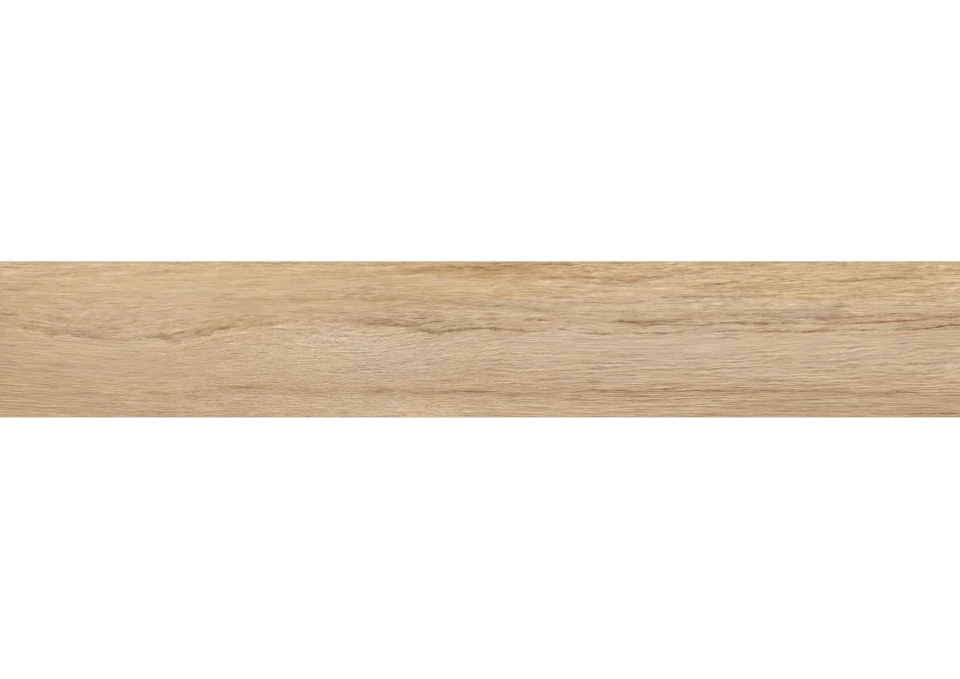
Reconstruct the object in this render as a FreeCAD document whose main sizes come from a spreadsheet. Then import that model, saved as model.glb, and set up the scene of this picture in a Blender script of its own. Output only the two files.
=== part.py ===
"""Rectified porcelain floor plank, pressed and fired in one piece.

The plank lies on its back in the XY plane, with its length along X and its face up. The origin is
the middle of the back, at the height of the lands that the plank rests on. The four sides are
ground square after firing, and a narrow bevel breaks the edge between them and the face. The press
leaves a shallow key grid in the back: sunk square cells with tapered walls, and between them the
lands that carry the plank, with a plain band of the same height round the grid. The adhesive grips
the cells. Lengths are in millimetres and angles in degrees.
"""

import FreeCAD, Part
import Sketcher
import os

NODE = "porcelain_plank"
FOLDER = "parts"

# Alias, plain number, what it measures
SIZES = [
    ("plank_length", 1200, "along the grain, between the ground ends"),
    ("plank_width", 195, "across the grain, between the ground sides"),
    ("plank_thickness", 10, "from the lands of the back to the face"),
    ("face_bevel", 0.6, "width and drop of the bevel round the face"),
    ("key_pitch", 29.5, "from one key cell to the next, along and across"),
    ("land_width", 4, "of the lands between the mouths of the cells"),
    ("key_margin", 8, "least width of the plain band round the grid"),
    ("key_depth", 0.8, "of the cells, from the lands to the cell floor"),
    ("key_draft", 30, "lean of the cell walls from upright"),
]

# As many whole cells as fit between the margins, along and across
CELLS_ALONG = "floor((Sizes.plank_length - 2 * Sizes.key_margin + Sizes.land_width) / Sizes.key_pitch)"
CELLS_ACROSS = "floor((Sizes.plank_width - 2 * Sizes.key_margin + Sizes.land_width) / Sizes.key_pitch)"

ORIGIN_POINT = (-1, 1)  # the sketch origin, as a constraint names it
SMALLEST_SHARE = 1e-6  # of the volume, for comparing two volumes


def make_sheet(doc):
    """The driving dimensions, one row each: alias, value and meaning."""
    sheet = doc.addObject("Spreadsheet::Sheet", "Sizes")
    for row, (alias, value, meaning) in enumerate(SIZES, start=1):
        sheet.set(f"A{row}", alias)
        sheet.set(f"B{row}", str(value))
        sheet.set(f"C{row}", meaning)
        sheet.setAlias(f"B{row}", alias)
    doc.recompute()
    return sheet


def new_sketch(body, name):
    """A sketch on the body's own XY plane, which is the plane of the lands."""
    sketch = body.newObject("Sketcher::SketchObject", name)
    plane = next(f for f in body.Origin.OriginFeatures if f.Role == "XY_Plane")
    sketch.AttachmentSupport = [(plane, "")]
    sketch.MapMode = "FlatFace"
    return sketch


def start_of(line):
    """The line's first end, as a constraint names it."""
    return line, 1


def end_of(line):
    """The line's last end, as a constraint names it."""
    return line, 2


def add_rectangle(sketch, left, bottom, right, top):
    """Four joined lines, two of them level and two upright. Returns their indexes in the order
    bottom, right, top, left."""
    points = [(left, bottom), (right, bottom), (right, top), (left, top)]
    corners = [FreeCAD.Vector(x, y, 0) for x, y in points]
    ends = zip(corners, corners[1:] + corners[:1])
    lines = [sketch.addGeometry(Part.LineSegment(start, end), False) for start, end in ends]
    for line, following in zip(lines, lines[1:] + lines[:1]):
        joint = (*end_of(line), *start_of(following))
        sketch.addConstraint(Sketcher.Constraint("Coincident", *joint))
    for line, lie in zip(lines, ["Horizontal", "Vertical"] * 2):
        sketch.addConstraint(Sketcher.Constraint(lie, line))
    return lines


def bind_distance(sketch, kind, ends, start_value, name, expression):
    """A named distance of that kind between two points, driven by the sheet."""
    index = sketch.addConstraint(Sketcher.Constraint(kind, *ends, start_value))
    sketch.renameConstraint(index, name)
    sketch.setExpression(f"Constraints.{name}", expression)


def add_blank(body, sheet):
    """The pressed blank, ground to length and width."""
    sketch = new_sketch(body, "BlankOutline")
    half_length, half_width = sheet.plank_length / 2, sheet.plank_width / 2
    bottom, right, _, _ = add_rectangle(sketch, -half_length, -half_width, half_length, half_width)
    opposite = (*start_of(bottom), *end_of(right))
    sketch.addConstraint(Sketcher.Constraint("Symmetric", *opposite, *ORIGIN_POINT))
    along = (*start_of(bottom), *end_of(bottom))
    across = (*start_of(right), *end_of(right))
    bind_distance(sketch, "DistanceX", along, sheet.plank_length, "length", "Sizes.plank_length")
    bind_distance(sketch, "DistanceY", across, sheet.plank_width, "width", "Sizes.plank_width")
    blank = body.newObject("PartDesign::Pad", "Blank")
    blank.Profile = sketch
    blank.setExpression("Length", "Sizes.plank_thickness")
    return blank


def top_face(shape):
    """The name of the highest flat face."""
    heights = [face.CenterOfMass.z for face in shape.Faces]
    return f"Face{heights.index(max(heights)) + 1}"


def add_bevel(body, blank):
    """The bevel between the face and the ground sides, all the way round."""
    bevel = body.newObject("PartDesign::Chamfer", "FaceBevel")
    bevel.Base = (blank, [top_face(blank.Shape)])
    bevel.setExpression("Size", "Sizes.face_bevel")
    return bevel


def add_cell(body, sheet):
    """The first key cell, in the corner of the grid. Its walls lean inwards, so that the punch lets go."""
    sketch = new_sketch(body, "CellMouth")
    side = sheet.key_pitch - sheet.land_width
    bottom, right, _, _ = add_rectangle(sketch, -side, -side, 0, 0)
    along = (*start_of(bottom), *end_of(bottom))
    across = (*start_of(right), *end_of(right))
    mouth = "Sizes.key_pitch - Sizes.land_width"
    bind_distance(sketch, "DistanceX", along, side, "mouth_length", mouth)
    bind_distance(sketch, "DistanceY", across, side, "mouth_width", mouth)
    to_origin = (*start_of(bottom), *ORIGIN_POINT)
    reach_along = f"({CELLS_ALONG} * Sizes.key_pitch - Sizes.land_width) / 2"
    reach_across = f"({CELLS_ACROSS} * Sizes.key_pitch - Sizes.land_width) / 2"
    bind_distance(sketch, "DistanceX", to_origin, side, "reach_along", reach_along)
    bind_distance(sketch, "DistanceY", to_origin, side, "reach_across", reach_across)
    cell = body.newObject("PartDesign::Pocket", "KeyCell")
    cell.Profile = sketch
    cell.Reversed = True  # up into the plank, not down from its back
    cell.setExpression("Length", "Sizes.key_depth")
    cell.setExpression("TaperAngle", "-Sizes.key_draft")
    return sketch, cell


def add_grid(body, sketch, cell):
    """The cell repeated along and across the back."""
    grid = body.newObject("PartDesign::LinearPattern", "KeyGrid")
    grid.Originals = [cell]
    grid.Direction = (sketch, ["H_Axis"])
    grid.Direction2 = (sketch, ["V_Axis"])
    grid.Mode = grid.Mode2 = "Extent"
    grid.setExpression("Length", f"({CELLS_ALONG} - 1) * Sizes.key_pitch")
    grid.setExpression("Length2", f"({CELLS_ACROSS} - 1) * Sizes.key_pitch")
    grid.setExpression("Occurrences", CELLS_ALONG)
    grid.setExpression("Occurrences2", CELLS_ACROSS)
    grid.Refine = False  # the cells leave no split faces to join
    body.Tip = grid
    return grid


def check_removed(before, after):
    """Stops if a feature that has to cut left the volume as it was."""
    if after.Shape.Volume > before.Shape.Volume * (1 - SMALLEST_SHARE):
        raise RuntimeError(f"{after.Label} removed nothing from {before.Label}")


def check_document(doc, bodies):
    """Stops if any object failed to recompute, or if a body holds no valid solid."""
    for item in doc.Objects:
        if "Invalid" in item.State or "Error" in item.State:
            raise RuntimeError(f"{item.Label} failed: {item.State}")
    for body in bodies:
        if body.Shape.isNull() or not body.Shape.isValid() or len(body.Shape.Solids) != 1:
            raise RuntimeError(f"{body.Label} isn't one valid solid")


def make_plank(doc, sheet):
    """The whole plank as one body."""
    body = doc.addObject("PartDesign::Body", "Plank")
    body.Label = NODE
    blank = add_blank(body, sheet)
    doc.recompute()
    bevel = add_bevel(body, blank)
    doc.recompute()
    check_removed(blank, bevel)
    sketch, cell = add_cell(body, sheet)
    doc.recompute()
    check_removed(bevel, cell)
    grid = add_grid(body, sketch, cell)
    doc.recompute()
    check_removed(cell, grid)
    return body


def main():
    doc = FreeCAD.newDocument("PorcelainPlank")
    sheet = make_sheet(doc)
    bodies = [make_plank(doc, sheet)]
    check_document(doc, bodies)
    os.makedirs(FOLDER, exist_ok=True)
    for body in bodies:
        body.Shape.exportStep(os.path.join(FOLDER, f"{body.Label}.step"))
        box = body.Shape.BoundBox
        print(f"{body.Label}: {box.XLength:.2f} x {box.YLength:.2f} x {box.ZLength:.2f} mm")
        print(f"{len(body.Shape.Faces)} faces, {body.Shape.Volume / 1e6:.4f} litres")


main()
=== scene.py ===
"""The oak look porcelain plank, dressed: a printed matt face with real grain relief, bare ground
sides, and the key grid back.

Lengths are in millimetres where nothing says metres. X runs along the grain, Y across it and Z out of
the face. Colours and darkness are in display levels, from 0 to 255. A layer of noise is a row of its
length, width, seed and amount.
"""

import math

import bpy
import numpy as np
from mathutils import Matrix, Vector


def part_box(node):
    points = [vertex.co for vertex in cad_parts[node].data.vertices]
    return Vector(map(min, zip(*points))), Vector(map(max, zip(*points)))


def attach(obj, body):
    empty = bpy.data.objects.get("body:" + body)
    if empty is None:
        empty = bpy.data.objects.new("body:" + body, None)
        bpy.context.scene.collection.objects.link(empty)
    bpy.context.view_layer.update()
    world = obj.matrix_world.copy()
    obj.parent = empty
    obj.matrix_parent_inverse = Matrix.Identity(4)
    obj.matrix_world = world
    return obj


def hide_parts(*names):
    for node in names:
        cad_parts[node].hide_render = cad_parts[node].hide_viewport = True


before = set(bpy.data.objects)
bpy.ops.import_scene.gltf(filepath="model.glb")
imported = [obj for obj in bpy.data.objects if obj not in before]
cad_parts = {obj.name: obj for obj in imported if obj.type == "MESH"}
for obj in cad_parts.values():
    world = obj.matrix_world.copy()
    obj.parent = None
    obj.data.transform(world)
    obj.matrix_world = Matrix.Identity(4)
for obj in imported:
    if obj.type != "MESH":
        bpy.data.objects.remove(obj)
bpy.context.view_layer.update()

NODE = "porcelain_plank"
MM = 0.001  # metres in a millimetre

# The solid's own sizes, as the plank's source has them
HALF_LENGTH, HALF_WIDTH, TOP = np.array(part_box(NODE)[1]) / MM
BEVEL = 0.6
KEY_PITCH = 29.5
LAND_WIDTH = 4
KEY_DEPTH = 0.8
KEY_DRAFT = math.radians(30)
CELLS_ALONG, CELLS_ACROSS = 40, 6
CELL_CORNER = 1.5  # radius of the corners of the cell mouths
CORNER_STEPS = 3

# The face's mesh, and how deep its relief is
COLUMNS, ROWS = 300, 260
PORE_DEPTH = 0.11
LINE_DEPTH = 0.16
RIDGE_DEPTH = 0.035
RIDGES = [(45, 2.6, 41, 0.02), (160, 18, 42, 0.015)]  # how they rise and fall about that depth
DEEPEST_RELIEF = 0.25

# How the grain runs: a height that stays the same along it, and the line it takes, as (x, y)
FLOW = [
    (130, [(-600, 130), (600, 130)]),
    (92, [(-600, 92), (-200, 94), (0, 92), (300, 93), (600, 92)]),
    (72, [(-600, 73), (-200, 76), (-50, 78), (60, 77), (200, 73), (300, 69), (345, 72), (450, 72),
          (525, 76), (600, 73)]),
    (55, [(-600, 57), (-200, 61), (-50, 60), (50, 55), (185, 50), (300, 54), (420, 50), (500, 55),
          (600, 55)]),
    (45, [(-600, 46), (-260, 45), (-166, 49), (-70, 49), (0, 42), (90, 36), (180, 37), (300, 40),
          (400, 39), (460, 42), (600, 41)]),
    (28, [(-600, 31), (-465, 24), (-388, 24), (-330, 31), (-240, 36), (-166, 36), (-70, 33), (0, 26),
          (90, 24), (176, 22.5), (206, 18.5), (346, 20), (450, 19), (506, 22), (566, 27), (600, 29)]),
    (12, [(-600, 15), (-555, 14), (-510, 9), (-465, 3), (-388, 2), (-345, 6), (-332, 13), (-282, 18),
          (-240, 26), (-208, 27), (-150, 23), (-100, 18), (-45, 8), (-15, 13), (18, 14), (60, 9), (108, 12),
          (150, 7), (230, 7), (300, 10), (438, 10), (540, 13), (600, 18)]),
    (-22, [(-600, -16), (-520, -26), (-420, -28), (-220, -27), (-120, -25), (0, -16), (120, -14),
           (220, -16), (320, -17), (420, -8), (600, -7)]),
    (-64, [(-600, -50), (-480, -55), (-308, -59), (-220, -64), (-20, -65), (70, -68), (130, -63),
           (300, -64), (460, -65), (560, -70), (600, -71)]),
    (-92, [(-600, -84), (-400, -91), (-220, -92), (0, -86), (100, -95), (300, -93), (600, -92)]),
    (-130, [(-600, -124), (-200, -130), (0, -124), (120, -132), (600, -130)]),
]

FLOW_SHARE = 0.5  # of its rise and fall that the streaks take up
WANDERS = [(55, 22, 11, 1.1), (16, 7, 12, 0.35)]  # how the streaks wander
LOWER_GRAIN = (10, 16)  # the height at which the lower grain starts, and how far down it fades in

# Where the grain leans: from x, to x, middle y, half width, rise for each millimetre to the right
LEANS = [
    (-600, -440, -40, 60, -0.06), (-600, -500, 25, 22, -0.04), (-500, -380, 22, 20, 0.07),
    (-400, -280, -10, 50, 0.07), (-280, -180, -40, 40, -0.05), (-130, 30, -5, 35, 0.1),
    (200, 480, 0, 75, 0.024), (150, 600, 75, 25, 0.03), (460, 600, -25, 60, 0.03),
]

# Small knots that the grain parts for: x, y, half length, half width, darkness of their rings
KNOTS = [(-146, 58, 18, 8, 12), (138, 87, 17, 7, 26), (565, 90, 16, 6, 20)]
KNOT_SPREAD = 0.65  # how strongly the grain parts
KNOT_WAVES = 5.5  # how close the rings lie
KNOT_WOBBLE = 0.9  # how far they are from round

# Display colours across the width, from the rear edge to the front one: y, colour
TONES = [
    (97, (202, 171, 131)), (75, (204, 174, 135)), (52, (203, 174, 138)), (30, (200, 171, 138)),
    (12, (202, 174, 141)), (-6, (204, 177, 146)), (-30, (200, 172, 141)), (-50, (197, 168, 137)),
    (-64, (194, 164, 131)), (-82, (196, 167, 135)), (-97, (195, 165, 133)),
]
TONE_WAVERS = [(120, 30, 21, 5)]

# Soft patches of tone: x, y, half length, half width, and the change of display colour, which is one
# number where red, green and blue change alike
PATCHES = [
    (300, 0, 330, 60, (0, 2, 4)), (330, 82, 300, 20, (0, 1, 4)), (-330, -12, 150, 30, (-1, -3, -5)),
    (-600, -45, 150, 75, (-5, -8, -13)), (-600, 45, 60, 40, (-6, -8, -8)), (-390, 68, 190, 35, (4, 5, 5)),
    (30, 90, 150, 13, (-7, -13, -19)), (50, 55, 110, 7, (0, -2, -6)), (-180, -10, 130, 35, (2, 5, 8)),
    (-85, -84, 120, 16, (9, 11, 11)), (500, -84, 170, 16, (-3, -4, -4)), (-90, 23, 70, 10, (-8, -9, -8)),
    (215, 22, 52, 6.5, (-13, -15, -15)), (470, 28, 130, 10, (-5, -7, -5)),
    (10, -38, 60, 20, (-4, -5, -5)), (-55, 74, 14, 4, (4, 6, 10)), (420, 75, 160, 16, (1, 0, -6)),
    (-322, 70, 25, 6, (-3, -2, -8)), (30, 52.5, 20, 3, (-1, -6, -12)),
    (-558, 20.5, 9, 3.5, (-5, -8, -12)), (255, 30.5, 15, 4, (-2, -6, -10)),
    (396, 50.5, 30, 2, (-4, -6, -16)), (185, 75, 14, 2, (-2, -8, -14)), (160, 60, 70, 5, (3, 4, 5)),
    (-100, 43, 100, 11, (-3, -6, -9)), (-200, 21, 90, 9, (4, 4, 3)), (-450, 88, 150, 12, (3, 3, 5)),
    (560, 42, 60, 10, (4, 5, 5)), (-390, -64, 110, 9, (3, 4, 3)), (150, -64, 60, 9, (3, 4, 5)),
    (370, -86, 180, 10, (-5, -4, -3)), (-480, -86, 120, 10, (-2, -4, -5)),
    # (-600, 0, 12, 120, -5) is painted shade: a darker strip across the plank's left end
    (570, -5, 50, 14, (-3, -4, -5)), (-600, 0, 12, 120, -5), (-300, 10, 70, 45, (0, -2, -5)),
    (50, 44, 90, 12, (2, 4, 8)), (520, -68, 80, 8, (0, 2, 5)), (-40, 91, 60, 6, 10),
    (270, 45, 70, 5, (6, 7, 8)), (-45, 34, 70, 6, (5, 7, 9)), (-510, 34, 60, 6, 5),
    (-290, 38, 30, 8, (-4, -7, -9)), (-390, 24, 60, 5, (-5, -5, -6)), (15, 23, 20, 5, (-6, -7, -8)),
    (115, 22, 25, 5, (-7, -8, -8)), (385, 23, 40, 5, (5, 6, 6)), (-145, 79, 35, 5, (-4, -5, -6)),
    (-85, -90, 40, 7, (6, 7, 7)), (-410, -90, 35, 7, (-5, -5, -6)), (-25, -65, 60, 6, (0, -3, -6)),
    (75, 67, 25, 6, (7, 7, 8)), (-225, 45, 25, 5, (-5, -6, -9)), (95, 34, 45, 5, (-5, -5, -6)),
    (-215, 20, 40, 10, 6), (-75, 0, 30, 10, (-3, -5, -9)), (525, -12, 25, 14, -5), (-410, -61, 45, 9, 5),
    (-50, -79, 45, 6, (-4, -7, -11)), (425, -90, 30, 5, -7), (-148, 16, 26, 3, 8),
    (378, 45, 55, 5, (7, 8, 9)), (520, 45, 25, 5, 6), (125, -90, 25, 5, 6), (-110, 56, 70, 6, -4),
]
PATCH_RAGS = [(14, 5, 22, 0.25)]  # how their rims stray, in half widths

# The dark band over the left half of the cathedral line: x, y of its ragged foot, height, darkness
CATHEDRAL_BAND = [
    (-572, 14.5, 4, 0), (-568, 12, 5, 15), (-561, 10.5, 6, 17), (-549, 13, 5, 15), (-546, 8, 9, 18),
    (-541, 5, 11, 20), (-530, 3.5, 12.5, 20), (-525, 4.5, 11, 20), (-520, 7, 11, 18), (-512, 7.5, 11, 18),
    (-506, 3.5, 12, 18), (-494, 3, 12, 17), (-481, 1, 13, 13), (-452, 0, 13, 13), (-442, -1.5, 9, 12),
    (-431, 0.5, 5, 12), (-422, 2, 4, 15), (-412, 2.5, 3, 15), (-402, 2, 5, 15), (-396, 0.5, 6, 17),
    (-390, -3, 9, 13), (-382, -5.5, 10, 12), (-376, -3.5, 9, 13), (-371, 1, 8, 20), (-354, 3, 9, 22),
    (-350, 3, 11, 26), (-338, 4, 12, 28), (-334, 8.5, 8, 28), (-328, 10.5, 6, 40), (-312, 13, 5.5, 38),
    (-300, 15.5, 7, 12), (-288, 16.5, 9, 11), (-274, 16.5, 9, 12), (-270, 17.5, 7, 14),
    (-238, 23.5, 4.5, 20), (-225, 23, 4, 26), (-205, 24.5, 4, 29), (-195, 24, 4.5, 23), (-188, 22, 5, 18),
    (-175, 20, 5, 16), (-162, 19.5, 7, 16), (-159, 20, 6, 16), (-154, 19.5, 7, 16), (-149, 21, 6, 16),
    (-142, 19.5, 7.5, 17), (-138, 20, 6, 15), (-130, 18.5, 7.5, 16), (-115, 17.5, 7.5, 17),
    (-110, 16, 10, 19), (-95, 13, 14, 14), (-88, 12, 12.5, 14), (-78, 10.5, 8, 24), (-60, 7, 6, 34),
    (-52, 5.5, 6, 34), (-42, 7, 4, 28), (-38, 9.5, 4, 26), (-30, 9.5, 5, 22), (-22, 9.5, 5, 19),
    (-18, 12, 2.5, 0),
]
BAND_TEETH = (4.5, 2.5, 51, 3.4)  # how its foot strays
BAND_SPECKS = (7, 1.4, 53, 1.2)  # how its darkness changes, as a share of it
BAND_EDGE = 0.4  # half the height in which its foot fades

# Soft dark bands: name, half width, and points as (x, y, darkness)
SHADES = [
    ("above the cathedral line", 4, [
        (-188, 26, 0), (-172, 26, 8), (-150, 26, 8), (-138, 24.5, 6), (-110, 23, 8), (-62, 14.5, 0),
    ]),
    ("under the second line", 3.8, [
        (-362, 45.5, 0), (-312, 47, 5), (-238, 52, 10), (-138, 52, 12), (-88, 50.5, 8), (-38, 47, 8),
        (0, 42, 9), (44, 40.5, 11), (100, 38, 0),
    ]),
    ("low band", 5.6, [
        (-475, -68, 0), (-425, -68, 5), (-350, -67, 8), (-288, -62, 8), (-225, -63, 7), (-162, -67, 6),
        (-50, -67, 10), (0, -65.5, 12), (50, -68, 9), (100, -67, 7), (150, -65.5, 8), (200, -67, 11),
        (275, -65.5, 10), (350, -65.5, 9), (425, -64.5, 8), (475, -68, 9), (525, -67, 5), (600, -70.5, 4),
    ]),
    ("left band", 3.1, [
        (-550, -33, 0), (-525, -31.5, 7), (-500, -33, 5), (-462, -37, 4), (-425, -37, 0),
    ]),
    ("third line's band", 3.8, [
        (162, 24.5, 0), (188, 23, 10), (212, 23, 8), (235, 24.5, 10), (256, 28, 8), (275, 29.5, 3),
        (300, 27, 0),
    ]),
    ("fourth line's band", 2.8, [(350, 29.5, 0), (375, 29.5, 5), (419, 28, 8), (462, 28, 0)]),
    ("right end of the third line", 2.2, [(525, 29.5, 0), (544, 27.5, 8), (575, 26, 9), (602, 27, 8)]),
    ("top band", 5.6, [
        (-106, 87, 0), (-81, 87, 7), (0, 89.5, 11), (38, 89.5, 9), (75, 83, 7), (100, 78, 9),
        (138, 74.5, 9), (175, 74.5, 8), (212, 75.5, 3), (250, 75.5, 0),
    ]),
    ("front edge band", 3.8, [(500, -88, 0), (550, -89.5, 6), (602, -90.5, 8)]),
]
SHADE_WAVERS = [(11, 4, 27, 0.8)]

# Short marks of the print: x, y, half length, half width, rise over the half length, darkness
STROKES = [
    (-161, 56, 8, 2.4, 2, 20), (-146, 64, 8, 1.6, 1.5, 22), (-139, 61, 8, 1, 1, 18),
    (-145, 49, 11, 1.2, -1, 16), (-120, 49.5, 12, 1, -0.5, 16), (130, 84, 10, 1, 1, 18),
    (158, 85, 8, 1, -0.5, 16), (-28, 13, 7, 1.6, 1, 22), (-6, 14.5, 15, 1.2, 0, 16),
    (18, 12, 8, 1.8, -1, 20), (48, 9.5, 11, 0.8, 0, 16), (-65, 20.5, 10, 0.8, 1, 16),
    (-49, 17, 9, 0.8, 1, 14), (-21, 18.5, 19, 0.8, 0.5, 12), (19, 18, 19, 0.8, -0.5, 12),
    (20, 42, 11, 1.2, 0, 14), (81, 35, 13, 1, 0, 14), (-567, 14.5, 2, 1.2, 0, 16),
    (-491, 3.5, 16, 1, 0, 16), (-384, 0, 12, 2.2, -2, 14), (-371, 8, 4, 1.2, 1, 18),
    (-344, 5.5, 11, 0.8, 0, 16), (-555, -0.5, 45, 0.8, 0, 14), (-578, -7, 22, 0.8, 0, 12),
    (-562, -39.5, 38, 0.8, 0, 14), (138, 5.5, 2, 1.2, 0, 16), (152, 6, 7, 1.4, 0, 20),
    (221, 7, 9, 1.2, 0.5, 16), (255, 11, 5, 0.8, 0, 14), (280, 7.5, 9, 1, 0.5, 14),
    (297, 9.5, 8, 1.2, 0, 16), (211, 18.5, 21, 1, 0.5, 15), (242, 23, 11, 1.4, 2, 12),
    (306, 22, 7, 1.6, 0, 20), (346, 19.5, 5, 1.4, 0, 16), (273, 29.5, 21, 1, 0.5, 15),
    (334, 30, 16, 0.8, 0, 12), (368, 28, 11, 2.2, 0, 9), (266, 53, 16, 1.2, 0.5, 16),
    (163, 45.5, 3, 1.2, 0, 14), (596, 14.5, 4, 1.2, 0, 18), (439, 25, 14, 1, 0.5, 16),
    (538, 32.5, 7, 1.2, 0, 14), (548, 29.5, 5, 1.2, -0.5, 16), (446, 43, 16, 1, 0.5, 12),
    (-34, 90.5, 7, 1.2, 0, 18), (-78, 85, 10, 1.2, -0.5, 12), (-1, 89.5, 9, 1.2, 0, 18),
    (11, 83, 7, 0.8, 0, 12), (111, 93.5, 5, 2, 0.5, 18), (8, 76, 8, 0.8, 0, 14),
    (42, 72.5, 11, 0.8, 0, 14), (87, 75.5, 16, 1.2, 0.5, 14), (135, 76, 6, 1.2, 0, 16),
    (157, 73, 9, 1, 0, 12), (186, 71, 9, 1, 0, 16), (38, 58, 9, 0.8, 0, 12), (104, 52, 16, 1.2, 0.5, 12),
    (236, 84.5, 29, 1, -0.5, 13), (339, 63.5, 14, 1.2, 0.5, 16), (356, 75, 9, 0.8, 0, 12),
    (394, 69.5, 6, 1, 0, 14), (459, 72, 11, 1.2, 0, 14), (474, 65, 5, 1.2, 0, 14),
    (550, 59, 25, 1, -0.5, 12), (316, 55.5, 5, 1, 0, 14), (-334, 90, 6, 1.2, 0, 14),
    (-421, 82.5, 16, 0.8, 2, 12), (-575, 62, 12, 1.6, 0.5, 9), (-286, -59.5, 14, 1.2, -0.5, 16),
    (-236, -63, 6, 1.4, -1, 16), (-395, -67, 18, 1.2, -1.5, 14), (-363, -69.5, 7, 1, 0.5, 14),
    (-116, -63, 11, 1.4, 0.5, 16), (-6, -64.5, 16, 1.6, -0.5, 10), (41, -69.5, 9, 1.4, -1, 12),
    (195, -65, 18, 1.6, 0, 14), (196, -70.5, 11, 1, 0, 14), (188, -77.5, 12, 1.2, -2, 14),
    (114, -74.5, 19, 1, -1, 12), (1, -82, 14, 1.2, -1, 12), (18, -93, 13, 1.2, -2.5, 12),
    (175, -22, 38, 0.8, 0, 12), (91, -27, 9, 1.2, 0, 12), (452, -64.5, 8, 1.4, -1, 14),
    (350, -81.5, 10, 1.6, -2, 10), (542, -65.5, 11, 1.4, -0.5, 12), (565, -70, 12, 1, -0.5, 14),
    (-540, 15, 32, 1, -1, 13), (-166, 60, 10, 1, 1.5, 12), (-14, 24, 12, 3, 0, 12),
]

# Red flushes in the print: x, y, half length, half width
FLUSHES = [
    (368, 10, 18, 2.5), (412, 10, 16, 2.5), (190, 73, 16, 2), (532, 22, 20, 3), (585, 17, 20, 4),
    (-128, -64, 22, 2.5), (539, -66, 12, 2), (25, 13, 10, 2), (50, 12, 12, 2), (-25, 12, 12, 2),
    (346, 19.5, 6, 1.5),
]
FLUSH_SHARE = 0.25  # of their red that shows where no line is drawn
FLUSH_IN_LINES = 0.018  # what one level of a line's darkness adds to it

# Where the fine pattern is stronger or weaker: x, y, half length, half width, change of its strength
RESTLESS = [
    (-380, 55, 330, 55, -0.41), (-60, 80, 150, 16, -0.12), (-70, 27, 50, 9, 0.4), (0, -12, 900, 16, -0.1),
    (300, -72, 330, 20, 0.38), (350, -20, 250, 28, -0.15), (300, 20, 320, 16, 0.07),
    (-180, -20, 150, 25, 0.05), (330, 78, 300, 24, 0.06), (-500, -76, 130, 24, -0.12),
    (-560, -30, 90, 40, 0.12),
]
EVEN_STRENGTH = 0.9  # elsewhere

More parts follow.
